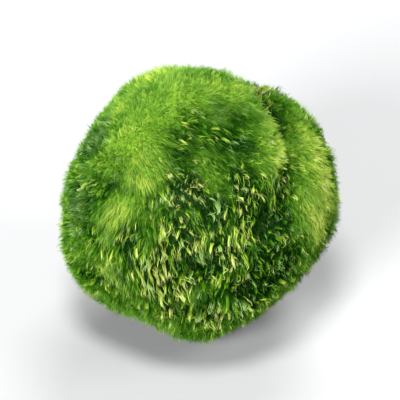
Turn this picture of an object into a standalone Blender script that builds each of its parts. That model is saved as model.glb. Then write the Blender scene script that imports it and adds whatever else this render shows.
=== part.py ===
"""A marimo moss ball: one soft ball of fine green filaments, resting on the small flat
spot that its own weight presses into it.

Metres, +Z up. The origin is on the surface that the ball rests on, under its middle.
-Y is the front. The solid's surface stands where the filament tips end.
"""

import math

import bmesh
import bpy
from mathutils import Vector, noise

# Driving dimensions
MM = 0.001
BALL_RADIUS = 22.2 * MM  # from the middle to the filament tips
REST_DEPTH = 21.0 * MM  # from the middle down to the surface it rests on
FACE_CUTS = 27  # cuts across each side of the cube that is rounded into the ball

# Soft swells and tufts of the coat. The tufts stand out where the coat is shaggy.
SWELL_PITCH = 11.0 * MM
SWELL_RISE = 0.9 * MM
TUFT_PITCH = 4.6 * MM
VELVET_RISE = 0.7 * MM
SHAGGY_RISE = 1.2 * MM
TUFT_SLOPE = 1.6  # how steeply a tuft rises out of the crease round it
PRESSED_FROM = 14.0  # degrees from the flat spot's middle: smooth up to here
PRESSED_TO = 34.0  # and with tufts of full height from here
SNAP = 0.12 * MM  # points this near the flat spot's plane are drawn onto it
CUT_DISTANCE = 0.01 * MM  # points this near the flat spot's plane count as on it
SHARP_EDGE = 60.0  # degrees between faces, above which an edge isn't smoothed

# The ball's own lobes and dents. Places are given as seen from the front and this many
# degrees above the horizon: `turn` runs round the outline from the right, `toward` from
# the outline (0) to the middle of the near side (90), and below 0 on the far side.
SEEN_FROM = 35.0
# (name, turn, toward, spread in degrees, rise)
LOBES = (
    ("left_shoulder", 117, 0, 22, 1.0 * MM),
    ("left_flat", 150, 0, 24, -1.1 * MM),
    ("left_cheek", -154, 0, 24, 1.2 * MM),
    ("lower_left_flat", -113, 0, 14, -1.6 * MM),
    ("chin", -89, 0, 10, 0.5 * MM),
    ("chin_gap", -73, 0, 10, -1.2 * MM),
    ("lower_right_flat", -45, 0, 24, -1.5 * MM),
    ("right_cheek", -8, 0, 13, 1.0 * MM),
    ("right_shoulder", 31, -6, 20, 1.4 * MM),
    ("crown", 92, 24, 15, 0.7 * MM),
    ("left_mound", 146, 54, 13, 0.6 * MM),
    ("left_parting", 163, 54, 7, -0.8 * MM),
    ("left_cushion", -175, 54, 14, 1.0 * MM),
    ("cushion_gap", -152, 60, 7, -0.8 * MM),
    ("hollow", 66, 55, 13, -1.1 * MM),
    ("right_pit", -10, 58, 8, -1.8 * MM),
    ("middle_gap", -45, 81, 8, -1.0 * MM),
    ("beard", -95, 64, 14, 0.9 * MM),
    ("beard_gap", -60, 47, 8, -1.3 * MM),
    ("far_left_lobe", 160, -50, 20, 1.3 * MM),
    ("far_top_dent", 80, -38, 13, -1.5 * MM),
    ("far_right_lobe", 15, -52, 18, 1.2 * MM),
    ("far_parting", 60, -72, 9, -1.6 * MM),
    ("far_cushion", -100, -70, 17, 1.0 * MM),
    ("far_left_dent", -165, -30, 12, -1.4 * MM),
    ("far_low_lobe", -35, -35, 15, 0.9 * MM),
)
# Where the coat is shaggy: (name, turn, toward, spread in degrees)
SHAGGY_PATCHES = (
    ("middle", -60, 76, 26),
    ("beard", -92, 48, 22),
    ("lower_right", -38, 40, 20),
    ("rear_lobe", 46, 28, 13),
    ("far_beard", -60, -45, 20),
    ("far_shade", 20, -60, 20),
    ("far_side", -170, -70, 16),
)
# The front lobe ends in a ridge on the right, and a valley parts it from the lobe behind
RIDGE_PATH = ((78, 12), (68, 21), (58, 32), (46, 38), (30, 50), (13, 57))
RIDGE_SPREAD = 8.0
RIDGE_RISE = 0.7 * MM
VALLEY_PATH = ((73, 0), (64, 15), (53, 24), (42, 28), (29, 37), (11, 46), (-8, 50))
VALLEY_SPREAD = 7.0
VALLEY_RISE = -1.8 * MM

COAT_GREEN = (0.16, 0.30, 0.035, 1.0)


def seen_direction(turn, toward):
    """The unit direction of a place given by its turn round the outline and how far it
    lies toward the viewer."""
    turn, toward, tilt = (math.radians(a) for a in (turn, toward, SEEN_FROM))
    right = Vector((1, 0, 0))
    up = Vector((0, math.sin(tilt), math.cos(tilt)))
    near = Vector((0, -math.cos(tilt), math.sin(tilt)))
    outline = right * math.cos(turn) + up * math.sin(turn)
    return outline * math.cos(toward) + near * math.sin(toward)


def bump(direction, middle, spread):
    """1 at the middle of a round bump, falling off over its spread in degrees."""
    angle = math.degrees(direction.angle(middle))
    return math.exp(-((angle / spread) ** 2))


def fold(direction, path, spread):
    """1 along a path of seen places, falling off to both sides."""
    nearest = 180.0
    points = [seen_direction(*place) for place in path]
    for start, end in zip(points, points[1:]):
        along = end - start
        share = (direction - start).dot(along) / along.length_squared
        point = start + along * min(max(share, 0.0), 1.0)
        nearest = min(nearest, math.degrees(direction.angle(point)))
    return math.exp(-((nearest / spread) ** 2))


def tuft(place):
    """From 0 in the creases between tufts to 1 on a tuft's head."""
    gaps, _ = noise.voronoi(place / TUFT_PITCH)
    return min(1.0, TUFT_SLOPE * (gaps[1] - gaps[0]))


def tuft_rise(direction):
    """How far the tufts stand out in a direction."""
    shaggy = 0.0
    for _, turn, toward, spread in SHAGGY_PATCHES:
        shaggy = max(shaggy, bump(direction, seen_direction(turn, toward), spread))
    return VELVET_RISE + (SHAGGY_RISE - VELVET_RISE) * shaggy


def pressed(direction):
    """0 at the flat spot, where tufts are pressed smooth, rising to 1 away from it."""
    angle = math.degrees(direction.angle(Vector((0, 0, -1))))
    share = (angle - PRESSED_FROM) / (PRESSED_TO - PRESSED_FROM)
    share = min(max(share, 0.0), 1.0)
    return share * share * (3 - 2 * share)


def ball_radius(direction):
    """How far the filament tips reach from the ball's middle in a direction."""
    radius = BALL_RADIUS
    for _, turn, toward, spread, rise in LOBES:
        radius += rise * bump(direction, seen_direction(turn, toward), spread)
    radius += RIDGE_RISE * fold(direction, RIDGE_PATH, RIDGE_SPREAD)
    radius += VALLEY_RISE * fold(direction, VALLEY_PATH, VALLEY_SPREAD)
    place = direction * BALL_RADIUS
    radius += SWELL_RISE * noise.noise(place / SWELL_PITCH)
    radius += tuft_rise(direction) * (tuft(place) - 0.5) * pressed(direction)
    return radius


def even_angle(share):
    """Spaces a cube's grid evenly by angle once the cube is rounded."""
    return math.tan(share * math.pi / 4)


def clear_scene():
    for obj in list(bpy.data.objects):
        bpy.data.objects.remove(obj, do_unlink=True)


def green_coat_material():
    material = bpy.data.materials.new("green_coat")
    material.use_nodes = True
    shader = material.node_tree.nodes["Principled BSDF"]
    shader.inputs["Base Color"].default_value = COAT_GREEN
    shader.inputs["Roughness"].default_value = 0.9
    shader.inputs["Metallic"].default_value = 0.0
    material.diffuse_color = COAT_GREEN
    return material


def rounded_cube():
    """A sphere of even quads, of radius 1."""
    ball = bmesh.new()
    bmesh.ops.create_cube(ball, size=2)
    bmesh.ops.subdivide_edges(ball, edges=ball.edges, cuts=FACE_CUTS, use_grid_fill=True)
    for vertex in ball.verts:
        vertex.co = Vector(even_angle(c) for c in vertex.co).normalized()
    return ball


def press_flat_spot(ball):
    """Cuts the ball off where it meets the surface, and closes the cut."""
    for vertex in ball.verts:
        if abs(vertex.co.z + REST_DEPTH) < SNAP:
            vertex.co.z = -REST_DEPTH
    bmesh.ops.bisect_plane(
        ball,
        geom=ball.verts[:] + ball.edges[:] + ball.faces[:],
        dist=CUT_DISTANCE,
        plane_co=(0, 0, -REST_DEPTH),
        plane_no=(0, 0, -1),
        clear_outer=True,
    )
    rim = [edge for edge in ball.edges if edge.is_boundary]
    bmesh.ops.holes_fill(ball, edges=rim, sides=0)


def stand_on_origin(ball):
    """Moves the ball so that the origin is under the middle of its box, on the surface."""
    for axis in (0, 1):
        places = [vertex.co[axis] for vertex in ball.verts]
        middle = (min(places) + max(places)) / 2
        for vertex in ball.verts:
            vertex.co[axis] -= middle
    for vertex in ball.verts:
        vertex.co.z += REST_DEPTH


def build_moss_ball(collection):
    ball = rounded_cube()
    for vertex in ball.verts:
        vertex.co *= ball_radius(vertex.co.copy())
    press_flat_spot(ball)
    stand_on_origin(ball)
    bmesh.ops.recalc_face_normals(ball, faces=ball.faces)
    mesh = bpy.data.meshes.new("moss_ball")
    ball.to_mesh(mesh)
    ball.free()
    mesh.materials.append(green_coat_material())
    mesh.shade_smooth()
    mesh.set_sharp_from_angle(angle=math.radians(SHARP_EDGE))
    moss_ball = bpy.data.objects.new("moss_ball", mesh)
    collection.objects.link(moss_ball)
    return moss_ball


def main():
    clear_scene()
    collection = bpy.data.collections.new("marimo_moss_ball")
    bpy.context.scene.collection.children.link(collection)
    build_moss_ball(collection)


main()
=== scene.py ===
"""A marimo moss ball: a round tangle of fine green algae filaments, at rest on the small
flat spot that its own weight presses into it.

Run as a script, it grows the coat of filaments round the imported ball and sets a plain
stage. Metres, +Z up, and -Y is the front.
"""

import math

import bmesh
import bpy
import numpy as np
from bpy.props import FloatProperty, FloatVectorProperty, PointerProperty
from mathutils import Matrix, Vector, noise
from mathutils.bvhtree import BVHTree


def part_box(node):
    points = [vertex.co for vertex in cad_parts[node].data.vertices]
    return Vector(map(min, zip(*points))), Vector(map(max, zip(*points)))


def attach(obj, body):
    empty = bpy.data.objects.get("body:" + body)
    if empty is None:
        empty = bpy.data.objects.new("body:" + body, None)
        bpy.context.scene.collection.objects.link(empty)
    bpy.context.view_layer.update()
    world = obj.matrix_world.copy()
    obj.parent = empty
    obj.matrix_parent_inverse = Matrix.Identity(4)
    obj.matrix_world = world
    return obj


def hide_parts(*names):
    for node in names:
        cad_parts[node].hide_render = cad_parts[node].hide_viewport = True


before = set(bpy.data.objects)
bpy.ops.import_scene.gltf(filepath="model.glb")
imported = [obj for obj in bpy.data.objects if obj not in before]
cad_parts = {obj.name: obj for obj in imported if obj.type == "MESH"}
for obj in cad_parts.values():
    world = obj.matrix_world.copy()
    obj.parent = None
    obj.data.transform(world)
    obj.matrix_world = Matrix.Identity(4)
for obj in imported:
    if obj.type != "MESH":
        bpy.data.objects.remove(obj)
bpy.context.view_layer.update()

bl_info = {
    "name": "Marimo Moss Ball",
    "version": (1, 0, 0),
    "blender": (4, 5, 0),
    "location": "View3D > Sidebar > Moss Ball",
    "description": "Grows the filament coat of a marimo moss ball and sets a plain stage",
    "category": "Add Mesh",
}

MM = 0.001
BALL_NODE = "moss_ball"
BALL_BODY = "root"
GROWTH_MESH = "growth_surface"
COAT_MAP = "OFBake"  # the filaments' map: tone across, root to tip up
BALL_LOW, BALL_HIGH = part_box(BALL_NODE)
BALL_MIDDLE = (BALL_LOW + BALL_HIGH) / 2

# ---------- the coat's own places
# A place on the ball is given as seen from the front and this many degrees above the
# horizon: `turn` runs round the outline from the right, and `toward` runs from the
# outline (0) to the middle of the near side (90), and below 0 on the far side.
SEEN_FROM = 35.0

# (name, turn, toward, spread in degrees, change of tone, share of dry filaments, share of
# cool green ones, shagginess: below 0 fine velvet, above 0 coarse locks with dark gaps).
# The change of tone is partly the coat's own colour and partly painted shade in hollows,
# pits, partings and gaps, and painted light on the crest and rims
PATCHES = (
    # the front lobe's crest, and the hollow under it, darkened as painted shade
    ("crest_left", 124, 28, 16, -0.02, 0.00, 0.00, -0.40),
    ("crest", 98, 29, 16, 0.01, 0.00, 0.00, -0.45),
    ("crest_right", 76, 31, 10, 0.20, 0.00, 0.00, -0.40),
    ("crest_edge", 106, 4, 18, 0.12, 0.00, 0.00, -0.40),
    ("hollow", 76, 44, 9, -0.78, 0.00, 0.10, -0.12),
    ("hollow_low", 55, 61, 9, -0.56, 0.00, 0.25, 0.10),
    # the left side: lime cushions, and partings between them darkened as painted shade
    ("left_lime", 143, 45, 12, 0.16, 0.00, 0.00, -0.25),
    ("left_fan", 146, 60, 11, 0.20, 0.00, 0.00, -0.20),
    # the left edge: cool greys as painted sheen, and a lower tone as painted shade
    ("left_edge_high", 152, 20, 10, -0.26, 0.00, 0.90, 0.04),
    ("left_edge", -178, 25, 11, -0.48, 0.00, 0.90, 0.08),
    ("left_cushion", -178, 60, 12, 0.20, 0.00, 0.00, -0.25),
    ("cushion_shade", -156, 55, 6, -0.22, 0.00, 0.20, 0.35),
    ("lower_left", -140, 38, 13, 0.16, 0.02, 0.14, -0.02),
    # the middle: tangled, with gaps darkened as painted shade and straw coloured tufts
    ("middle", 150, 82, 8, 0.06, 0.12, 0.50, 0.60),
    ("brown_middle", 122, 84, 5, -0.06, 0.50, 0.00, 0.15),
    ("middle_gap", -45, 81, 7, 0.22, 0.06, 0.35, 0.60),
    ("right_pit", -15, 57, 8, -0.66, 0.03, 0.60, 0.65),
    ("straw_strip", 1, 69, 6, 0.42, 0.20, 0.00, 0.35),
    ("strip_high", 28, 68, 5, 0.26, 0.08, 0.10, 0.30),
    ("strip_low", -30, 65, 5, 0.26, 0.15, 0.00, 0.40),
    ("straw_left", -119, 71, 9, 0.54, 0.18, 0.10, 0.50),
    ("straw_right", -64, 64, 8, 0.46, 0.20, 0.20, 0.55),
    ("straw_low", -118, 52, 12, 0.62, 0.15, 0.05, 0.45),
    ("straw_middle", -90, 60, 8, 0.10, 0.08, 0.10, 0.55),
    ("low_gap", -62, 40, 8, -0.28, 0.05, 0.40, 0.55),
    # the right side: a slope darkened as painted shade, and the lime rim of the lobe behind,
    # lit up as painted light
    ("rear_lobe", 24, 44, 9, 0.32, 0.04, 0.10, -0.10),
    ("rear_shade", 51, 27, 6, 0.10, 0.20, 0.20, 0.45),
    ("right_rim_high", 23, 17, 13, 0.32, 0.00, 0.00, -0.32),
    ("right_rim", -2, 21, 14, 0.34, 0.00, 0.00, -0.32),
    ("right_slope", -12, 46, 7, -0.04, 0.00, 0.40, 0.30),
    ("lower_right", -39, 38, 13, -0.24, 0.04, 0.45, 0.45),
    ("brown_tuft", 64, 8, 7, 0.20, 0.70, 0.10, 0.30),
    # the chin
    ("chin", -84, 31, 9, 0.14, 0.08, 0.15, 0.22),
    ("chin_left", -108, 32, 8, 0.18, 0.04, 0.20, 0.20),
    ("chin_right", -62, 28, 9, -0.10, 0.04, 0.40, 0.30),
    # the far side, which has the same range of growth
    ("far_crest", 100, -35, 22, 0.24, 0.00, 0.00, -0.35),
    ("far_hollow", 75, -52, 10, -0.18, 0.00, 0.20, 0.30),
    ("far_straw", -60, -45, 14, 0.20, 0.20, 0.10, 0.50),
    ("far_straw_low", -95, -30, 9, 0.24, 0.18, 0.10, 0.50),
    ("far_shade", 20, -60, 16, -0.12, 0.03, 0.40, 0.45),
    ("far_gap", 170, -72, 9, -0.18, 0.03, 0.50, 0.50),
    ("far_lime", -150, -50, 18, 0.28, 0.00, 0.00, -0.25),
    ("far_cushion", 135, -58, 12, 0.28, 0.00, 0.00, -0.30),
    ("far_rim", 10, -25, 14, 0.26, 0.00, 0.00, -0.25),
    ("far_brown_tuft", 150, -20, 7, 0.02, 0.25, 0.20, 0.40),
)

# Crowns that the filaments lean away from: (name, turn, toward, spread, strength)
CROWNS = (
    ("lime_crown", 138, 42, 20, 0.20),
    ("cushion_crown", 177, 60, 20, 0.30),
    ("right_crown", 20, 8, 30, 0.12),
    ("top_crown", 100, 2, 34, 0.10),
    ("far_left_crown", 170, -42, 38, 0.20),
    ("far_right_crown", 0, -50, 36, 0.18),
)
# Where the wet filaments hang: (name, turn, toward, spread, the way they hang as seen, in
# degrees from the right, strength)
FALLS = (
    ("front_fall", -95, 54, 38, -92, 0.68),
    ("hollow_fall", 76, 52, 22, -52, 1.10),
    ("pit_fall", 0, 66, 20, -96, 0.70),
    ("lime_fall", 146, 58, 18, -62, 1.00),
    ("cushion_fall", -165, 50, 16, -112, 0.70),
    ("lower_left_fall", -130, 46, 20, -98, 0.60),
    ("right_fall", 3, 26, 24, -78, 0.60),
    ("far_fall", -80, -50, 50, -90, 0.35),
    ("far_hollow_fall", 80, -50, 24, -130, 0.80),
    ("far_side_fall", 175, -55, 24, -70, 0.70),
)
# Folds of the coat: (name, places along it, spread, change of tone, shagginess, length).
# The change of tone is painted light on the ridge and painted shade in the valley and parting
FOLDS = (
    ("ridge", ((78, 12), (68, 21), (58, 32), (46, 38), (30, 50)), 4, 0.10, -0.45, 0.05),
    ("valley", ((73, 0), (64, 17), (53, 26), (42, 30)), 5, -0.30, 0.3, -0.4),
    ("left_parting", ((171, 47), (172, 58), (176, 68)), 4, -0.18, 0.24, -0.25),
)

# ---------- the coat's own texture
# Smooth noise on the coat: (pitch of its lumps, amount, where the noise is read)
TONE_LUMPS = (
    (7.0 * MM, 0.12, (0.3, 9.2, 4.1)),
    (3.0 * MM, 0.09, (6.3, 2.2, 5.1)),
)
SHAG_LUMPS = (5.0 * MM, 0.30, (1.3, 7.2, 0.1))
CLUMP_LUMPS = (2.6 * MM, 2.5, (4.4, 8.3, 2.9))
HOLE_LUMPS = (1.5 * MM, 5.0, (5.7, 1.9, 8.8))
CORE_LUMPS = (1.1 * MM, 0.35 * MM, (0.0, 0.0, 0.0))
SWIRL_SEED = 1795520248  # another would do as well, but 0 stands for the time of day
LEAN_SWIRLS = (
    (9.0 * MM, 0.30, (3.1, 0.4, 7.7)),
    (3.5 * MM, 0.30, (8.2, 5.4, 1.7)),
    (1.3 * MM, 0.28, (2.6, 9.1, 4.3)),
)

BASE_TONE = 0.47
BASE_SHAG = 0.35
SHAG_FROM = 0.05  # the coat is velvet below this shagginess,
SHAG_TO = 0.85  # and as shaggy as it gets above this
DRY_BASE = 0.02  # share of dry locks in a shaggy coat,
COOL_BASE = 0.10  # and of cool green ones
CLUMP_TONE = 0.20  # how much lighter or darker the clumps of a shaggy coat are

TUFT_PITCH = 3.8 * MM  # the coat's tufts lean together and part in creases
TUFT_SLOPE = 2.2  # how steeply a tuft rises out of the crease round it
TUFT_LEAN = 0.30
TUFT_SHADE_TONE = 0.08  # painted light and shade: how much lighter a tuft is than its creases,
TUFT_LEVEL = 0.6  # and how far up it the coat's own tone lies
CREASE_SHADE_TONE = 0.35  # the same painted shade for a shaggy coat
CREASE_LEVEL = 0.75
CREASE_DEPTH = 0.55  # how much shorter filaments are in a crease,
CREASE_VELVET = 0.2  # and the share of that in a velvet coat

HOLE_SHARE = -0.30  # below 0, dark holes take less than half of a shaggy coat
GAP_HOLES = 3.0  # a patch darkened as painted shade has more holes,
DRY_HOLES = 1.0  # as a dry patch has,
GAP_SHADE_SHARE = 0.5  # and only this share of its painted shade goes into its filaments' tone
HOLE_SHADE_SHARE = 0.5  # painted shade: the share of its tone that a filament loses in a hole,
HOLE_SHADE_TONE = 0.6  # the tone that it loses besides,
HOLE_DEPTH = 0.40  # the share of its length,
HOLE_COVER = 0.45  # and how many fewer filaments there are

GROWTH_DETAIL = 7  # how many times the growth surface's icosahedron is subdivided
CORE_DETAIL = 6
TIP_ROUNDS = 8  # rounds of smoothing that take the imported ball's facets away
CORE_ROUNDS = 50
VELVET_ENDS = 2.0  # the core's painted shade is dark where the coat is shaggier than 1 over this
WELD_DISTANCE = 0.001 * MM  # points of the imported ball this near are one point

# ---------- the filaments
# What the layers of the coat grow with, a column for each: the undercoat, the fuzz, the
# velvet, the coarse locks, the tangle and the strays
LAYER_INPUTS = {
    "Segments": (1, 1, 2, 3, 5, 3),
    "Lock Seed": (1, 5, 5, 20, 31, 1),
    "Seed": (1, 6, 11, 21, 31, 41),
    "Lock Pull": (0.40, 0.80, 0.60, 0.62, 0.35, 0.00),
    "Root Pull": (0.00, 0.00, 0.00, 0.50, 0.20, 0.00),
    "Hole Share": (0.00, 1.00, 1.00, 1.00, 0.30, 1.00),
    "Lock Scatter": (0.30, 0.30, 0.30, 0.50, 0.40, 0.30),
    "Lock Curl": (0.20, 0.20, 0.20, 0.90, 0.60, 0.20),
    "Lock Tone": (0.22, 0.25, 0.25, 0.36, 0.30, 0.10),
    "Own Tone": (0.28, 0.12, 0.12, 0.06, 0.04, 0.10),
    "Tone Shift": (0.00, 0.00, 0.00, 0.00, 0.00, 0.10),
    "Shag Tone": (0.00, 0.00, 0.00, 0.26, 0.26, 0.00),
    # Shag Fade darkens a layer under a shaggy coat, as painted shade deep in the coat
    "Shag Shade": (0.80, 0.60, 0.60, 0.00, 0.00, 0.00),
    "Dry Share": (1.00, 1.00, 1.00, 1.30, 1.60, 2.00),
    "Shortest": (0.40, 0.65, 0.80, 0.80, 0.75, 0.90),
    "Longest": (0.80, 1.00, 1.30, 1.05, 0.98, 1.25),
    "Shag Length": (0.00, -0.40, -0.40, 0.00, 0.00, 0.00),
    "Bend Height": (0.45, 0.45, 0.45, 0.70, 0.90, 0.45),
    "Comb": (1.00, 1.00, 1.90, 1.00, 1.00, 1.00),
    "Scatter": (0.30, 0.80, 0.60, 0.15, 0.50, 0.45),
    "Curl": (0.12, 0.12, 0.40, 0.10, 0.80, 0.30),
}
FLOOR_GAP = 0.1 * MM  # the filaments lie at least this high above the floor
# What the growth surface carries: `reach` is the way and distance from it to the coat's
# tips, and `lean` is the way the filaments are combed
PAINTED = {
    "reach": "FLOAT_VECTOR",
    "lean": "FLOAT_VECTOR",
    "tone": "FLOAT",
    "dry": "FLOAT",
    "cool": "FLOAT",
    "shag": "FLOAT",
    "cover": "FLOAT",
}
SEED_STEP = 1000.0  # between the seeds of one layer's uses of chance
LOCKS_AT_MOST = 3.0e7  # to a square metre, before they are thinned to their pitch
SIDES = 3  # a filament's cross-section is a triangle, shaded smooth
RING_GATHER = 1.4  # above 1, a filament's rings lie closer together toward its tip
LOOSENESS = (0.6, 1.1)  # of a velvet coat and of a shaggy one
LOCK_LENGTHS = (0.72, 1.0)  # of a lock, as a share of the coat's depth
PULLS = (0.75, 1.15)  # how a filament's pull to its lock varies
WIDTHS = (0.75, 1.2)  # how its width varies
LOW_RISE = 0.5  # how high the lower bend stands, as a share of the upper one
CURL_BACK = -0.5  # how far a lock's upper bend curls, as a share of its lower one
TIP_LEAN = 0.25  # how far the upper bend follows the tip
CLING = 0.75  # how far both bends are drawn to the lock
SIDE_SHIFT = 0.004  # sets a filament's edges a little apart on its map
LIVE_TONES = (0.01, 0.54)  # where the live greens lie on the map, from dark to pale
COOL_TONES = (0.60, 0.78)  # where the cool greens lie, from dark to pale
DRY_TONES = (0.86, 0.95)
VELVET_SHADE_LIFT = 0.85  # how much of the painted shade at a filament's dark foot is left out in a velvet coat

# ---------- finishes
# The colours across the map: (tone, name of the colour)
TONE_STOPS = (
    (0.00, "shade"),
    (0.15, "forest"),
    (0.31, "leaf"),
    (0.44, "lime"),
    (0.56, "pale"),
    (0.60, "cool_shade"),
    (0.80, "cool_pale"),
    (0.86, "straw"),
    (0.90, "straw"),
    (1.00, "brown"),
)
# Painted shade: how much of its colour a filament shows from its dark foot, deep in the coat,
# to its tip
PAINTED_SHADE_STOPS = (
    (0.00, (0.01, 0.03, 0.00)),
    (0.36, (0.09, 0.18, 0.04)),
    (0.60, (0.58, 0.68, 0.42)),
    (0.86, (0.94, 0.94, 0.94)),
)
HIGHLIGHT_FROM = 0.75  # a painted highlight lightens a filament from here to its tip,
HIGHLIGHT_MOST = 0.15  # this much at most,
HIGHLIGHT_BRIGHTNESS = (0.05, 0.30)  # and not at all below the first of these
WET_ROUGHNESS = 0.42
WET_GLOW = 0.35  # share of the light that passes through a filament
CORE_ROUGHNESS = 0.85
SPECKLES = {"Scale": 2400.0, "Detail": 4.0}
SPECKLE_STOPS = ((0.35, (0.4, 0.4, 0.4)), (0.70, (1.6, 1.6, 1.6)))

# ---------- the stage
# (name, azimuth, elevation, width, power)
LAMPS = (
    ("overhead_softbox", -12, 70, 0.94, 160),
    ("left_softbox", -30, 25, 1.11, 248),
    ("right_softbox", 75, 38, 1.50, 64),
    ("back_softbox", 165, 40, 1.70, 119),
)
LAMP_DISTANCE = 3.0
ROOM_COLOUR = (1.0, 0.99, 0.97, 1.0)
ROOM_LIGHT = 0.22  # strength of the room's own light on the ball,
ROOM_SEEN = 0.93  # and of the pale room behind it
FLOOR_REACH = 4.0  # from the floor's middle to its edges
FLOOR_ROUGHNESS = 0.7
SENSOR_WIDTH = 36.0


def seen_direction(turn, toward):
    """The unit direction of a place that is given by its turn and its toward."""
    turn, toward, tilt = (math.radians(angle) for angle in (turn, toward, SEEN_FROM))
    right = np.array((1.0, 0.0, 0.0))
    up = np.array((0.0, math.sin(tilt), math.cos(tilt)))
    near = np.array((0.0, -math.cos(tilt), math.sin(tilt)))
    outline = right * math.cos(turn) + up * math.sin(turn)
    return outline * math.cos(toward) + near * math.sin(toward)


def degrees_of(cosines):
    """The angles that have these cosines, in degrees."""
    return np.degrees(np.arccos(np.clip(cosines, -1, 1)))


def falloff(directions, middle, spread):
    """1 at the middle of a round patch, falling off over its spread in degrees."""
    angles = degrees_of(directions @ middle)
    return np.exp(-((angles / spread) ** 3))


def fold_falloff(directions, path, spread):
    """1 along a path of seen places, falling off to both sides."""
    points = [seen_direction(*place) for place in path]
    nearest = np.full(len(directions), 180.0)
    for start, end in zip(points, points[1:]):
        along = end - start
        share = np.clip((directions - start) @ along / (along @ along), 0, 1)
        spots = start + share[:, None] * along
        spots /= np.linalg.norm(spots, axis=1, keepdims=True)
        nearest = np.minimum(nearest, degrees_of((directions * spots).sum(1)))
    return np.exp(-((nearest / spread) ** 2))


def tangent(directions, vectors):
    """What is left of the vectors along the ball's surface."""
    return vectors - directions * (directions * vectors).sum(1, keepdims=True)


def lumps(places, pitch, amount, offset):
    """Smooth noise at each place, of about an amount either way."""
    shift = Vector(offset)
    return amount * np.array([noise.noise(Vector(place) / pitch + shift) for place in places])


def swirls(places, pitch, offset):
    """Smooth vector noise at each place, which is the same each time only if seeded."""
    noise.seed_set(SWIRL_SEED)
    shift = Vector(offset)
    return np.array([noise.noise_vector(Vector(place) / pitch + shift) for place in places])


def tufts(places, pitch):
    """For each place its tuft's head, and from 0 in the creases to 1 on the tuft."""
    heads = np.empty((len(places), 3))
    body = np.empty(len(places))
    for row, place in enumerate(places):
        gaps, points = noise.voronoi(Vector(place) / pitch)
        heads[row] = points[0] * pitch
        body[row] = min(1.0, TUFT_SLOPE * (gaps[1] - gaps[0]))
    return heads, body


# ---------- settings
def size(name, description, default):
    return FloatProperty(
        name=name, description=description, default=default, subtype="DISTANCE"
    )


def density(name, description, default):
    return FloatProperty(name=name, description=description, default=default)


def colour(name, description, default):
    return FloatVectorProperty(
        name=name, description=description, default=default, subtype="COLOR"
    )


class CoatSettings(bpy.types.PropertyGroup):
    """Sizes of the coat of filaments."""

    velvet_depth: size(
        "Velvet depth",
        "How far the filament tips stand out of the core where the coat is velvet",
        1.2 * MM,
    )
    shaggy_depth: size(
        "Shaggy depth",
        "How far the filament tips stand out of the core where the coat is shaggy",
        2.4 * MM,
    )
    width: size("Filament width", "Thickness of a filament near its root", 0.068 * MM)
    velvet_pitch: size(
        "Velvet pitch", "Distance between the small locks of the fine coat", 0.80 * MM
    )
    lock_pitch: size(
        "Lock pitch",
        "Distance between the coarse locks that wet filaments cling together in",
        1.35 * MM,
    )
    under_density: density(
        "Undercoat density", "Short filaments to a square metre", 4.0e6
    )
    fuzz_density: density(
        "Fuzz density",
        "Short straight filaments to a square metre where the coat is velvet",
        21.0e6,
    )
    velvet_density: density(
        "Velvet density",
        "Fine bent filaments to a square metre where the coat is velvet",
        5.0e6,
    )
    lock_density: density(
        "Lock density",
        "Filaments in locks to a square metre where the coat is shaggy",
        8.5e6,
    )
    tangle_density: density(
        "Tangle density",
        "Filaments that wander over a shaggy coat, to a square metre",
        2.4e6,
    )
    stray_density: density(
        "Stray density", "Filaments that stand out of the coat, to a square metre", 0.7e6
    )


class CoatColours(bpy.types.PropertyGroup):
    """Colours of the filaments, from the darkest green to the dry ones, and of the core."""

    shade: colour("Shade green", "Filaments in the dark hollows", (0.008, 0.060, 0.002))
    forest: colour("Forest green", "Dark filaments of the coat", (0.034, 0.175, 0.003))
    leaf: colour("Leaf green", "Most of the coat", (0.145, 0.360, 0.012))
    lime: colour("Lime", "Fresh growth on the crests", (0.460, 0.615, 0.045))
    pale: colour("Pale lime", "The brightest filaments", (0.800, 0.900, 0.310))
    straw: colour("Straw", "Dry filaments", (0.660, 0.710, 0.225))
    brown: colour("Brown", "Old dry filaments", (0.290, 0.200, 0.060))
    cool_shade: colour(
        "Cool shade green", "Cool green filaments in the dark hollows", (0.024, 0.115, 0.008)
    )
    cool_pale: colour(
        "Cool pale green", "The brightest cool green filaments", (0.470, 0.720, 0.270)
    )
    # painted highlight: the pale colour that the last of each filament is mixed toward
    tip: colour(
        "Bleached tip",
        "The last of each filament, where the light has bleached it",
        (0.800, 0.920, 0.380),
    )
    # painted shade: the near-black core and the lighter velvet core stand for the shade deep
    # in the coat
    core: colour(
        "Matted core", "The dark tangle under a shaggy coat", (0.005, 0.018, 0.003)
    )
    velvet_core: colour(
        "Matted velvet", "The tangle under a velvet coat", (0.065, 0.145, 0.008)
    )


class StageSettings(bpy.types.PropertyGroup):
    """The plain stage."""

    floor: colour("Floor", "Colour of the floor", (0.225, 0.2275, 0.23))
    camera_distance: size(
        "Camera distance", "From the camera to the ball's middle", 0.55
    )
    view_width: size(
        "View width",
        "How much of the scene the picture takes in at the ball",
        63 * MM,
    )


# ---------- node tree shorthand
def add_node(tree, kind, feeds=None, **options):
    """Adds a node, sets its options and feeds its sockets, given by name or number."""
    node = tree.nodes.new(kind)
    for name, value in options.items():
        setattr(node, name, value)
    for socket, value in (feeds or {}).items():
        if isinstance(value, bpy.types.NodeSocket):
            tree.links.new(value, node.inputs[socket])
        else:
            node.inputs[socket].default_value = value
    return node


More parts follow.
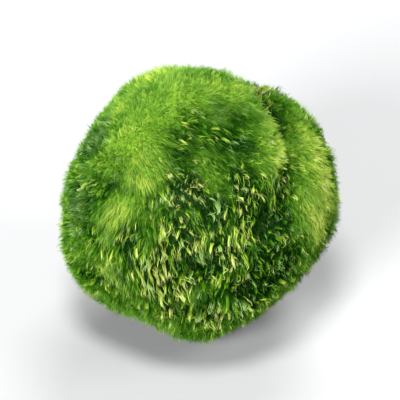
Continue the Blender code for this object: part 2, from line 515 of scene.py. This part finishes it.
class Sums:
    """Writes the arithmetic of a node tree."""

    def __init__(self, tree):
        self.tree = tree

    def made(self, kind, feeds=None, output=0, **options):
        """The output of a new node."""
        return add_node(self.tree, kind, feeds, **options).outputs[output]

    def number(self, operation, *values):
        feeds = dict(enumerate(values))
        return self.made("ShaderNodeMath", feeds, operation=operation)

    def product(self, result, *factors):
        for factor in factors:
            result = self.number("MULTIPLY", result, factor)
        return result

    def rest(self, share):
        return self.number("SUBTRACT", 1.0, share)

    def mixed(self, share, first, second):
        feeds = {0: share, 2: first, 3: second}
        return self.made("ShaderNodeMix", feeds)

    def ranged(self, value, low, high, to_low=0.0, to_high=1.0):
        feeds = {0: value, 1: low, 2: high, 3: to_low, 4: to_high}
        return self.made("ShaderNodeMapRange", feeds)

    def switched(self, test, off, on):
        feeds = {0: test, 1: off, 2: on}
        return self.made("GeometryNodeSwitch", feeds, input_type="FLOAT")

    def chance(self, low, high, seed):
        feeds = {2: low, 3: high, "Seed": seed}
        return self.made("FunctionNodeRandomValue", feeds, 1)

    def vector(self, operation, *values):
        feeds = dict(enumerate(values))
        output = 1 if operation == "LENGTH" else 0
        return self.made("ShaderNodeVectorMath", feeds, output, operation=operation)

    def scaled(self, vector, factor):
        feeds = {0: vector, 3: factor}
        return self.made("ShaderNodeVectorMath", feeds, operation="SCALE")

    def total(self, result, *vectors):
        for vector in vectors:
            result = self.vector("ADD", result, vector)
        return result

    def parts(self, vector):
        return add_node(self.tree, "ShaderNodeSeparateXYZ", {0: vector}).outputs

    def joined(self, x, y, z):
        return self.made("ShaderNodeCombineXYZ", {0: x, 1: y, 2: z})

    def blended(self, share, first, second):
        feeds = {0: share, 4: first, 5: second}
        return self.made("ShaderNodeMix", feeds, 1, data_type="VECTOR")

    def chance_vector(self, seed):
        feeds = {0: (-1, -1, -1), 1: (1, 1, 1), "Seed": seed}
        return self.made("FunctionNodeRandomValue", feeds, data_type="FLOAT_VECTOR")

    def ramp(self, value, stops):
        """Colours along a value: (value, colour)."""
        node = add_node(self.tree, "ShaderNodeValToRGB", {0: value})
        elements = node.color_ramp.elements
        while len(elements) < len(stops):
            elements.new(0.5)
        for element, (place, tint) in zip(elements, stops):
            element.position = place
            element.color = (*tint, 1.0)
        return node.outputs[0]

    def tinted(self, first, second, share=1.0, how="MULTIPLY"):
        feeds = {0: share, 6: first, 7: second}
        options = {"data_type": "RGBA", "blend_type": how}
        return self.made("ShaderNodeMix", feeds, 2, **options)


# ---------- the growing of the coat
def captured(tree, geometry, values):
    """Keeps fields of a geometry for use after it is instanced: {name: (kind, field)}."""
    node = tree.nodes.new("GeometryNodeCaptureAttribute")
    tree.links.new(geometry, node.inputs[0])
    for place, (name, (kind, field)) in enumerate(values.items(), start=1):
        node.capture_items.new(kind, name)
        tree.links.new(field, node.inputs[place])
    kept = {name: node.outputs[place] for place, name in enumerate(values, start=1)}
    return node.outputs[0], kept


class Growth(Sums):
    """Writes the tree that grows bent, tapering filaments in locks from a surface."""

    def __init__(self, tree):
        super().__init__(tree)
        self.given = tree.nodes.new("NodeGroupInput").outputs
        self.position = tree.nodes.new("GeometryNodeInputPosition").outputs[0]
        self.coat = {name: self.painted(name, kind) for name, kind in PAINTED.items()}
        # A velvet coat is tidy, and a shaggy one is loose
        self.looseness = self.mixed(self.coat["shag"], *LOOSENESS)

    def painted(self, name, kind):
        return self.made("GeometryNodeInputNamedAttribute", {"Name": name}, data_type=kind)

    def seeded(self, step, name="Seed"):
        return self.number("ADD", self.given[name], SEED_STEP * step)

    def lock_seeded(self, step):
        return self.seeded(step, "Lock Seed")

    def of_lock(self, value, kind="FLOAT"):
        """A value at the nearest lock."""
        feeds = {"Geometry": self.locks, "Value": value, "Index": self.nearest}
        return self.made("GeometryNodeSampleIndex", feeds, data_type=kind)

    def sow(self):
        """Sows locks evenly, and then the filaments, which are thinner in the holes."""
        given, coat = self.given, self.coat
        feeds = {
            "Mesh": given["Growth Surface"],
            "Distance Min": given["Lock Pitch"],
            "Density Max": LOCKS_AT_MOST,
            "Seed": self.lock_seeded(1),
        }
        sower = "GeometryNodeDistributePointsOnFaces"
        self.locks = self.made(sower, feeds, distribute_method="POISSON")
        feeds = {"Geometry": self.locks, "Sample Position": self.position}
        self.nearest = self.made("GeometryNodeSampleNearest", feeds)
        thick = self.mixed(coat["shag"], given["Velvet Density"], given["Shaggy Density"])
        thinned = self.product(thick, self.mixed(given["Hole Share"], 1.0, coat["cover"]))
        feeds = {"Mesh": given["Growth Surface"], "Density": thinned, "Seed": self.seeded(2)}
        return self.made(sower, feeds)

    def line(self):
        """A filament's root, and from there its tip and the two points that bend it."""
        given, coat = self.given, self.coat
        lock_root = self.of_lock(self.position, "FLOAT_VECTOR")
        lock_reach = self.of_lock(coat["reach"], "FLOAT_VECTOR")
        lock_lean = self.of_lock(coat["lean"], "FLOAT_VECTOR")
        lock_aim = self.of_lock(self.chance_vector(self.lock_seeded(3)), "FLOAT_VECTOR")
        lock_curl = self.of_lock(self.chance_vector(self.lock_seeded(6)), "FLOAT_VECTOR")
        lock_length = self.of_lock(self.chance(*LOCK_LENGTHS, self.lock_seeded(4)))
        root = self.blended(given["Root Pull"], self.position, lock_root)
        to_lock = self.vector("SUBTRACT", lock_root, root)

        depth = self.vector("LENGTH", coat["reach"])
        loose_depth = self.product(depth, self.looseness)
        combing = self.product(depth, given["Comb"])
        own_length = self.chance(given["Shortest"], given["Longest"], self.seeded(6))
        longer = self.number("MULTIPLY_ADD", coat["shag"], given["Shag Length"], 1.0)
        length = self.product(own_length, lock_length, longer)
        scatter = self.product(loose_depth, given["Scatter"])
        free_tip = self.total(
            self.scaled(coat["reach"], length),
            self.scaled(coat["lean"], combing),
            self.scaled(self.chance_vector(self.seeded(7)), scatter),
        )
        lock_tip = self.total(
            to_lock,
            self.scaled(lock_reach, length),
            self.scaled(lock_lean, combing),
            self.scaled(lock_aim, self.product(loose_depth, given["Lock Scatter"])),
        )
        pull = self.chance(*PULLS, self.seeded(8))
        pull = self.product(given["Lock Pull"], pull, self.looseness)
        tip = self.blended(pull, free_tip, lock_tip)

        cling = self.scaled(self.scaled(to_lock, pull), CLING)
        curl = self.product(loose_depth, given["Curl"])
        shared_curl = self.product(loose_depth, given["Lock Curl"])
        rise = self.product(length, given["Bend Height"])
        low_bend = self.total(
            self.scaled(coat["reach"], self.product(rise, LOW_RISE)),
            self.scaled(self.chance_vector(self.seeded(9)), curl),
            self.scaled(lock_curl, shared_curl),
            cling,
        )
        high_bend = self.total(
            self.scaled(coat["reach"], rise),
            self.scaled(self.chance_vector(self.seeded(16)), curl),
            self.scaled(lock_curl, self.product(shared_curl, CURL_BACK)),
            self.scaled(tip, TIP_LEAN),
            cling,
        )
        return {"root": root, "tip": tip, "low_bend": low_bend, "high_bend": high_bend}

    def tone(self):
        """Where a filament lies across its map."""
        given, coat = self.given, self.coat
        # painted shade: a lower layer's tone fades under a shaggy coat
        kept = self.rest(self.product(coat["shag"], given["Shag Shade"]))
        live = self.number("ADD", self.product(coat["tone"], kept), given["Tone Shift"])
        live = self.number("MULTIPLY_ADD", coat["shag"], given["Shag Tone"], live)
        of_lock = self.of_lock(self.chance(-1.0, 1.0, self.lock_seeded(5)))
        of_its_own = self.chance(-1.0, 1.0, self.seeded(12))
        for change, name in ((of_lock, "Lock Tone"), (of_its_own, "Own Tone")):
            amount = self.product(given[name], self.looseness)
            live = self.number("MULTIPLY_ADD", change, amount, live)
        live = self.number("MINIMUM", self.number("MAXIMUM", live, 0.0), 1.0)
        cool_odds = self.of_lock(self.chance(0.0, 1.0, self.lock_seeded(8)))
        is_cool = self.number("LESS_THAN", cool_odds, coat["cool"])
        green, cool_green = self.mixed(live, *LIVE_TONES), self.mixed(live, *COOL_TONES)
        dry_odds = self.of_lock(self.chance(0.0, 1.0, self.lock_seeded(7)))
        dry_share = self.product(coat["dry"], given["Dry Share"])
        is_dry = self.number("LESS_THAN", dry_odds, dry_share)
        dry = self.chance(*DRY_TONES, self.seeded(14))
        return self.switched(is_dry, self.switched(is_cool, green, cool_green), dry)

    def planted(self, roots):
        """A straight filament of length 1 at every root, and what was kept for it."""
        width = self.product(self.given["Width"], self.chance(*WIDTHS, self.seeded(11)))
        # less of the painted shade at the foot is kept in a velvet coat
        lift = self.product(self.rest(self.coat["shag"]), VELVET_SHADE_LIFT)
        values = {name: ("VECTOR", value) for name, value in self.line().items()}
        values["side"] = ("VECTOR", self.chance_vector(self.seeded(10)))
        values["width"] = ("FLOAT", width)
        values["tone"] = ("FLOAT", self.tone())
        values["lift"] = ("FLOAT", lift)
        points, kept = captured(self.tree, roots, values)
        feeds = {"Vertices": SIDES, "Side Segments": self.given["Segments"], "Depth": 1.0}
        straight = self.made("GeometryNodeMeshCone", feeds, fill_type="NGON")
        place = {"place": ("VECTOR", self.position)}
        straight, shape = captured(self.tree, straight, place)
        feeds = {"Points": points, "Instance": straight}
        planted = self.made("GeometryNodeInstanceOnPoints", feeds)
        planted = self.made("GeometryNodeRealizeInstances", {0: planted})
        return planted, {**kept, **shape}

    def bent(self, planted, kept):
        """The filaments bent along their curves, tapered and laid out on their map."""
        across_x, across_y, height = self.parts(kept["place"])
        around = self.vector("NORMALIZE", self.joined(across_x, across_y, 0.0))
        around_x, around_y, _ = self.parts(around)
        left = self.number("POWER", self.rest(height), RING_GATHER)
        along = self.rest(left)
        # A cubic curve from the root by the two bends to the tip
        line = self.total(
            kept["root"],
            self.scaled(kept["low_bend"], self.product(left, left, along, 3.0)),
            self.scaled(kept["high_bend"], self.product(along, along, left, 3.0)),
            self.scaled(kept["tip"], self.product(along, along, along)),
        )
        line_x, line_y, line_z = self.parts(line)
        line_z = self.number("MAXIMUM", line_z, FLOOR_GAP)
        line = self.joined(line_x, line_y, line_z)
        between = self.vector("SUBTRACT", kept["high_bend"], kept["low_bend"])
        last = self.vector("SUBTRACT", kept["tip"], kept["high_bend"])
        heading = self.total(
            self.scaled(kept["low_bend"], self.product(left, left)),
            self.scaled(between, self.product(left, along, 2.0)),
            self.scaled(last, self.product(along, along)),
        )
        heading = self.vector("NORMALIZE", heading)
        first = self.vector("CROSS_PRODUCT", heading, kept["side"])
        first = self.vector("NORMALIZE", first)
        second = self.vector("CROSS_PRODUCT", heading, first)
        rim = self.total(self.scaled(first, around_x), self.scaled(second, around_y))
        square = self.product(along, along)
        radius = self.product(kept["width"], 0.5, self.rest(self.product(square, square)))
        place = self.total(line, self.scaled(rim, radius))
        feeds = {"Geometry": planted, "Position": place}
        grown = self.made("GeometryNodeSetPosition", feeds)

        across = self.number("ADD", kept["tone"], self.product(around_y, SIDE_SHIFT))
        # the map's height sets the painted shade at the foot and the painted highlight at the
        # tip
        up = self.rest(self.product(left, self.rest(kept["lift"])))
        feeds = {"Geometry": grown, "Name": COAT_MAP, "Value": self.joined(across, up, 0.0)}
        options = {"data_type": "FLOAT2", "domain": "CORNER"}
        return self.made("GeometryNodeStoreNamedAttribute", feeds, **options)


def filament_tree():
    """The node tree that grows one layer of the coat."""
    tree = bpy.data.node_groups.new("grow_filaments", "GeometryNodeTree")
    kinds = {"Growth Surface": "Geometry", "Material": "Material"}
    for name, values in LAYER_INPUTS.items():
        kinds[name] = "Int" if isinstance(values[0], int) else "Float"
    for name in ("Velvet Density", "Shaggy Density", "Lock Pitch", "Width"):
        kinds[name] = "Float"
    for name, kind in kinds.items():
        tree.interface.new_socket(name=name, in_out="INPUT", socket_type="NodeSocket" + kind)
    tree.interface.new_socket(
        name="Filaments", in_out="OUTPUT", socket_type="NodeSocketGeometry"
    )
    growth = Growth(tree)
    planted, kept = growth.planted(growth.sow())
    grown = growth.bent(planted, kept)
    grown = add_node(tree, "GeometryNodeSetShadeSmooth", {0: grown}).outputs[0]
    feeds = {0: grown, "Material": growth.given["Material"]}
    grown = add_node(tree, "GeometryNodeSetMaterial", feeds).outputs[0]
    add_node(tree, "NodeGroupOutput", {0: grown})
    return tree


def packed_ball():
    """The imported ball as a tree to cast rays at."""
    ball = bmesh.new()
    ball.from_mesh(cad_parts[BALL_NODE].data)
    bmesh.ops.remove_doubles(ball, verts=ball.verts, dist=WELD_DISTANCE)
    rays = BVHTree.FromBMesh(ball)
    ball.free()
    return rays


def smoothed(values, edges, rounds):
    """Values at a mesh's points, averaged with their neighbours."""
    count = np.bincount(edges.ravel(), minlength=len(values))
    for _ in range(rounds):
        total = np.bincount(edges[:, 0], values[edges[:, 1]], len(values))
        total += np.bincount(edges[:, 1], values[edges[:, 0]], len(values))
        values = (values + total / count) / 2
    return values


def paint(mesh, name, values):
    """Stores a number or a vector at each of a mesh's points."""
    kind = "FLOAT_VECTOR" if values.ndim == 2 else "FLOAT"
    layer = mesh.attributes.new(name, kind, "POINT")
    key = "vector" if values.ndim == 2 else "value"
    layer.data.foreach_set(key, values.astype(np.float32).ravel())


def round_mesh(name, detail):
    """An even ball of radius 1, with the directions of its points."""
    ball = bmesh.new()
    bmesh.ops.create_icosphere(ball, subdivisions=detail, radius=1)
    mesh = bpy.data.meshes.new(name)
    ball.to_mesh(mesh)
    ball.free()
    directions = np.array([vertex.co for vertex in mesh.vertices])
    directions /= np.linalg.norm(directions, axis=1, keepdims=True)
    return mesh, directions


def reached(rays, directions):
    """How far a surface is from the ball's middle in each direction."""
    return np.array([rays.ray_cast(BALL_MIDDLE, Vector(way))[3] for way in directions])


def move_points(mesh, directions, radii):
    places = np.array(BALL_MIDDLE) + directions * radii[:, None]
    mesh.vertices.foreach_set("co", places.astype(np.float32).ravel())
    mesh.update()


def combed(directions, on_coat, heads):
    """The way the filaments lean: swirls, tufts that cling together, crowns and falls."""
    lean = np.zeros(on_coat.shape)
    for pitch, amount, offset in LEAN_SWIRLS:
        lean += tangent(directions, swirls(on_coat, pitch, offset)) * amount
    lean += tangent(directions, heads - on_coat) * (TUFT_LEAN / TUFT_PITCH)
    for _, turn, toward, spread, strength in CROWNS:
        middle = seen_direction(turn, toward)
        away = tangent(directions, directions - middle)
        away /= np.linalg.norm(away, axis=1, keepdims=True) + 1e-6
        # strongest one spread away from the crown
        spreads = degrees_of(directions @ middle) / spread
        share = spreads * np.exp(0.5 - 0.5 * spreads**2)
        lean += away * (strength * share)[:, None]
    for _, turn, toward, spread, heading, strength in FALLS:
        near = falloff(directions, seen_direction(turn, toward), spread)
        way = np.tile(seen_direction(heading, 0), (len(directions), 1))
        lean += tangent(directions, way) * (strength * near)[:, None]
    return lean


def coat_fields(directions):
    """What guides the coat in each direction: its tone, which holds painted shade and light
    as well as the coat's own colour, the shares of dry and of cool filaments, its shagginess,
    length and cover, and the way it is combed."""
    on_coat = directions * BALL_HIGH.x
    heads, body = tufts(on_coat, TUFT_PITCH)
    tone = np.full(len(directions), BASE_TONE)
    for kind in TONE_LUMPS:
        tone += lumps(on_coat, *kind)
    # painted light on the tufts and painted shade in the creases between them
    tone += TUFT_SHADE_TONE * (body - TUFT_LEVEL)
    shag = BASE_SHAG + lumps(on_coat, *SHAG_LUMPS)
    dry, cool, gap = np.zeros((3, len(directions)))
    length = np.ones(len(directions))
    for _, turn, toward, spread, change, dry_share, cool_share, coarser in PATCHES:
        near = falloff(directions, seen_direction(turn, toward), spread)
        tone += change * near * (GAP_SHADE_SHARE if change < 0 else 1.0)
        gap += max(0.0, -change) * near
        dry += dry_share * near
        cool += cool_share * near
        shag += coarser * near
    for _, path, spread, change, coarser, longer in FOLDS:
        near = fold_falloff(directions, path, spread)
        tone += change * near
        shag += coarser * near
        length += longer * near
    shag = np.clip((shag - SHAG_FROM) / (SHAG_TO - SHAG_FROM), 0.0, 1.0)
    shag = shag * shag * (3 - 2 * shag)
    dry += DRY_BASE * shag
    cool += COOL_BASE * shag
    crease = CREASE_VELVET + (1 - CREASE_VELVET) * shag
    length -= CREASE_DEPTH * (1 - body) * crease
    tone += CLUMP_TONE * shag * np.clip(lumps(on_coat, *CLUMP_LUMPS), -1.0, 1.0)
    # more painted shade in the creases of a shaggy coat
    tone += CREASE_SHADE_TONE * shag * (body - CREASE_LEVEL)
    holes = lumps(on_coat, *HOLE_LUMPS)
    holes += HOLE_SHARE + GAP_HOLES * gap + DRY_HOLES * dry
    holes = np.clip(holes, 0.0, 1.0) * shag
    return {
        # painted shade: filaments in a hole are darker
        "tone": tone - (HOLE_SHADE_SHARE * tone + HOLE_SHADE_TONE) * holes,
        "dry": dry,
        "cool": cool,
        "shag": shag,
        "length": length - HOLE_DEPTH * holes,
        "cover": 1.0 - HOLE_COVER * holes,
        "lean": combed(directions, on_coat, heads),
    }


def growth_surface(coat):
    """The surface that the filaments grow from, with what guides them painted on it."""
    mesh, directions = round_mesh(GROWTH_MESH, GROWTH_DETAIL)
    edges = np.array([edge.vertices for edge in mesh.edges])
    fields = coat_fields(directions)
    length = fields.pop("length")
    tips = smoothed(reached(packed_ball(), directions), edges, TIP_ROUNDS)
    depth = coat.velvet_depth + (coat.shaggy_depth - coat.velvet_depth) * fields["shag"]
    core = smoothed(tips - depth, edges, CORE_ROUNDS)
    move_points(mesh, directions, core)
    paint(mesh, "reach", directions * ((tips - core) * length)[:, None])
    for name, values in fields.items():
        paint(mesh, name, values)
    return mesh


def grown_piece(name, tree, values):
    """A plain mesh of filaments, grown by the tree with these input values."""
    growth = bpy.data.meshes[GROWTH_MESH]
    piece = bpy.data.objects.new(name, growth)
    bpy.context.scene.collection.objects.link(piece)
    modifier = piece.modifiers.new("Grow filaments", "NODES")
    modifier.node_group = tree
    for item in tree.interface.items_tree:
        if item.in_out == "INPUT" and item.name in values:
            modifier[item.identifier] = values[item.name]
    depsgraph = bpy.context.evaluated_depsgraph_get()
    mesh = bpy.data.meshes.new_from_object(piece.evaluated_get(depsgraph))
    if not mesh.polygons:
        raise RuntimeError(f"{name}: no filaments grew")
    piece.modifiers.clear()
    piece.data = mesh
    mesh.name = name
    return piece


def finished(piece):
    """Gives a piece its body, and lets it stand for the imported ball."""
    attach(piece, BALL_BODY)
    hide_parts(BALL_NODE)
    return piece


# ---------- materials
def filament_material(colours):
    """Wet algae: tone across the map picks the colour, roots are darker than tips as painted
    shade, and tips are lighter as painted highlight.
    """
    material = bpy.data.materials.new("wet_filaments")
    material.use_nodes = True
    tree = material.node_tree
    tree.nodes.clear()
    sums = Sums(tree)
    tone, along, _ = sums.parts(sums.made("ShaderNodeUVMap", uv_map=COAT_MAP))
    grown = sums.ramp(tone, [(stop, getattr(colours, name)) for stop, name in TONE_STOPS])
    # painted shade: the colour darkens toward the filament's foot, deep in the coat
    shaded_colour = sums.tinted(grown, sums.ramp(along, PAINTED_SHADE_STOPS))
    # Only the last of a filament gets the painted highlight, and a dark filament doesn't
    near_tip = sums.ranged(along, HIGHLIGHT_FROM, 1.0, 0.0, HIGHLIGHT_MOST)
    brightness = sums.made("ShaderNodeRGBToBW", {0: grown})
    painted_highlight = sums.product(near_tip, sums.ranged(brightness, *HIGHLIGHT_BRIGHTNESS))
    seen = sums.tinted(shaded_colour, (*colours.tip, 1.0), painted_highlight, "MIX")
    feeds = {"Base Color": seen, "Roughness": WET_ROUGHNESS, "Specular IOR Level": 0.0}
    shader = sums.made("ShaderNodeBsdfPrincipled", feeds)
    glow = sums.made("ShaderNodeBsdfTranslucent", {"Color": seen})
    both = sums.made("ShaderNodeMixShader", {0: WET_GLOW, 1: shader, 2: glow})
    add_node(tree, "ShaderNodeOutputMaterial", {0: both})
    return material


def plain_material(name, roughness):
    """A material and its shader."""
    material = bpy.data.materials.new(name)
    material.use_nodes = True
    shader = material.node_tree.nodes["Principled BSDF"]
    shader.inputs["Roughness"].default_value = roughness
    return material, shader


def core_material(colours):
    """The tangle that shows between the filaments, coloured as painted shade: near black
    under a shaggy coat, lighter under a velvet one.
    """
    material, shader = plain_material("matted_core", CORE_ROUGHNESS)
    shader.inputs["Specular IOR Level"].default_value = 0.0
    tree = material.node_tree
    sums = Sums(tree)
    place = sums.made("ShaderNodeTexCoord", output="Object")
    speckle = sums.made("ShaderNodeTexNoise", {"Vector": place, **SPECKLES})
    velvet = sums.made("ShaderNodeAttribute", output="Fac", attribute_name="velvet")
    tint = sums.tinted((*colours.core, 1.0), (*colours.velvet_core, 1.0), velvet, "MIX")
    tint = sums.tinted(tint, sums.ramp(speckle, SPECKLE_STOPS))
    tree.links.new(tint, shader.inputs["Base Color"])
    return material


def floor_material(tint):
    material, shader = plain_material("pale_floor", FLOOR_ROUGHNESS)
    shader.inputs["Base Color"].default_value = (*tint, 1.0)
    return material


# ---------- operators
class MOSS_OT_matted_core(bpy.types.Operator):
    """Build the dark matted core and the surface that the filaments grow from"""

    bl_idname = "moss_ball.matted_core"
    bl_label = "Matted Core"

    def execute(self, context):
        scene = context.scene
        growth = bmesh.new()
        growth.from_mesh(growth_surface(scene.moss_coat))
        mesh, directions = round_mesh("matted_core", CORE_DETAIL)
        radii = reached(BVHTree.FromBMesh(growth), directions)
        growth.free()
        radii += lumps(directions * radii[:, None], *CORE_LUMPS)
        move_points(mesh, directions, radii)
        fields = coat_fields(directions)
        paint(mesh, "velvet", np.clip(1.0 - VELVET_ENDS * fields["shag"], 0.0, 1.0))
        mesh.shade_smooth()
        mesh.materials.append(core_material(scene.moss_colours))
        piece = bpy.data.objects.new("matted_core", mesh)
        scene.collection.objects.link(piece)
        finished(piece)
        return {"FINISHED"}


class MOSS_OT_filaments(bpy.types.Operator):
    """Grow the undercoat, the velvet, the coarse locks, the tangle and the strays"""

    bl_idname = "moss_ball.filaments"
    bl_label = "Filaments"

    def execute(self, context):
        tree = filament_tree()
        wet = filament_material(context.scene.moss_colours)
        for name, count, values in coat_layers(context.scene.moss_coat):
            for number in range(count):
                piece = f"{name}_{number + 1}" if count > 1 else name
                inputs = {**values, "Seed": values["Seed"] + number, "Material": wet}
                finished(grown_piece(piece, tree, inputs))
        return {"FINISHED"}


def coat_layers(coat):
    """The coat's layers: (name, how many pieces it is grown in, the tree's inputs)."""
    fine, coarse = coat.velvet_pitch, coat.lock_pitch
    under, fuzz, velvet = coat.under_density, coat.fuzz_density / 2, coat.velvet_density
    locks, tangle, stray = coat.lock_density / 2, coat.tangle_density, coat.stray_density
    # (name, pieces, velvet density, shaggy density, pitch of the locks, share of the width)
    rows = (
        ("undercoat", 1, under * 0.6, under * 1.5, fine, 1.8),
        ("fuzz", 2, fuzz, fuzz * 0.05, fine, 0.95),
        ("velvet", 1, velvet, velvet * 0.14, fine, 0.8),
        ("coarse_locks", 2, 0.0, locks, coarse, 1.2),
        ("tangle", 1, 0.0, tangle, coarse, 1.4),
        ("stray_filaments", 1, stray, stray, coarse, 0.65),
    )
    layers = []
    for column, (name, count, in_velvet, in_shaggy, pitch, share) in enumerate(rows):
        values = {key: row[column] for key, row in LAYER_INPUTS.items()}
        values["Velvet Density"] = in_velvet
        values["Shaggy Density"] = in_shaggy
        values["Lock Pitch"] = pitch
        values["Width"] = coat.width * share
        layers.append((name, count, values))
    return layers


class MOSS_OT_stage(bpy.types.Operator):
    """Set the pale floor, the soft light and the camera"""

    bl_idname = "moss_ball.stage"
    bl_label = "Stage"

    def execute(self, context):
        scene = context.scene
        settings = scene.moss_stage
        lay_floor(settings)
        hang_lights()
        set_camera(settings)
        scene.view_settings.view_transform = "Standard"
        return {"FINISHED"}


def lay_floor(settings):
    ground = bmesh.new()
    bmesh.ops.create_grid(ground, x_segments=2, y_segments=2, size=FLOOR_REACH)
    mesh = bpy.data.meshes.new("floor")
    ground.to_mesh(mesh)
    ground.free()
    mesh.materials.append(floor_material(settings.floor))
    floor = bpy.data.objects.new("floor", mesh)
    bpy.context.scene.collection.objects.link(floor)


def set_facing_ball(thing, azimuth, elevation, distance):
    """Sets a lamp or the camera at a distance from the ball's middle, facing it."""
    turn, rise = math.radians(azimuth), math.radians(elevation)
    ahead, aside = -math.cos(turn) * math.cos(rise), math.sin(turn) * math.cos(rise)
    way = Vector((aside, ahead, math.sin(rise)))
    thing.location = BALL_MIDDLE + way * distance
    thing.rotation_euler = (-way).to_track_quat("-Z", "Y").to_euler()
    bpy.context.scene.collection.objects.link(thing)


def hang_lights():
    for name, azimuth, elevation, width, power in LAMPS:
        light = bpy.data.lights.new(name, "AREA")
        light.shape = "DISK"
        light.size = width
        light.energy = power
        lamp = bpy.data.objects.new(name, light)
        set_facing_ball(lamp, azimuth, elevation, LAMP_DISTANCE)
    world = bpy.data.worlds.new("soft_room")
    world.use_nodes = True
    tree = world.node_tree
    sky = tree.nodes["Background"]
    sky.inputs["Color"].default_value = ROOM_COLOUR
    sums = Sums(tree)
    seen = sums.made("ShaderNodeLightPath", output="Is Camera Ray")
    tree.links.new(sums.mixed(seen, ROOM_LIGHT, ROOM_SEEN), sky.inputs["Strength"])
    bpy.context.scene.world = world


def set_camera(settings):
    lens = bpy.data.cameras.new("camera")
    lens.sensor_width = SENSOR_WIDTH
    lens.lens = lens.sensor_width * settings.camera_distance / settings.view_width
    lens.clip_start = 0.01
    camera = bpy.data.objects.new("camera", lens)
    set_facing_ball(camera, 0, SEEN_FROM, settings.camera_distance)
    bpy.context.scene.camera = camera


class MOSS_PT_panel(bpy.types.Panel):
    """Lists the steps that build the moss ball"""

    bl_idname = "MOSS_PT_panel"
    bl_label = "Marimo Moss Ball"
    bl_space_type = "VIEW_3D"
    bl_region_type = "UI"
    bl_category = "Moss Ball"

    def draw(self, context):
        layout = self.layout
        scene = context.scene
        for settings in (scene.moss_coat, scene.moss_colours, scene.moss_stage):
            for name in settings.__annotations__:
                layout.prop(settings, name)
        for operator in OPERATORS:
            layout.operator(operator.bl_idname)


SETTINGS = (CoatSettings, CoatColours, StageSettings)
OPERATORS = (MOSS_OT_matted_core, MOSS_OT_filaments, MOSS_OT_stage)


def register():
    for each in (*SETTINGS, *OPERATORS, MOSS_PT_panel):
        bpy.utils.register_class(each)
    bpy.types.Scene.moss_coat = PointerProperty(type=CoatSettings)
    bpy.types.Scene.moss_colours = PointerProperty(type=CoatColours)
    bpy.types.Scene.moss_stage = PointerProperty(type=StageSettings)


def unregister():
    del bpy.types.Scene.moss_coat
    del bpy.types.Scene.moss_colours
    del bpy.types.Scene.moss_stage
    for each in (MOSS_PT_panel, *reversed(OPERATORS), *reversed(SETTINGS)):
        bpy.utils.unregister_class(each)


def main():
    register()
    bpy.ops.moss_ball.matted_core()
    bpy.ops.moss_ball.filaments()
    bpy.ops.moss_ball.stage()
    bpy.data.meshes.remove(bpy.data.meshes[GROWTH_MESH])


if __name__ == "__main__":
    main()
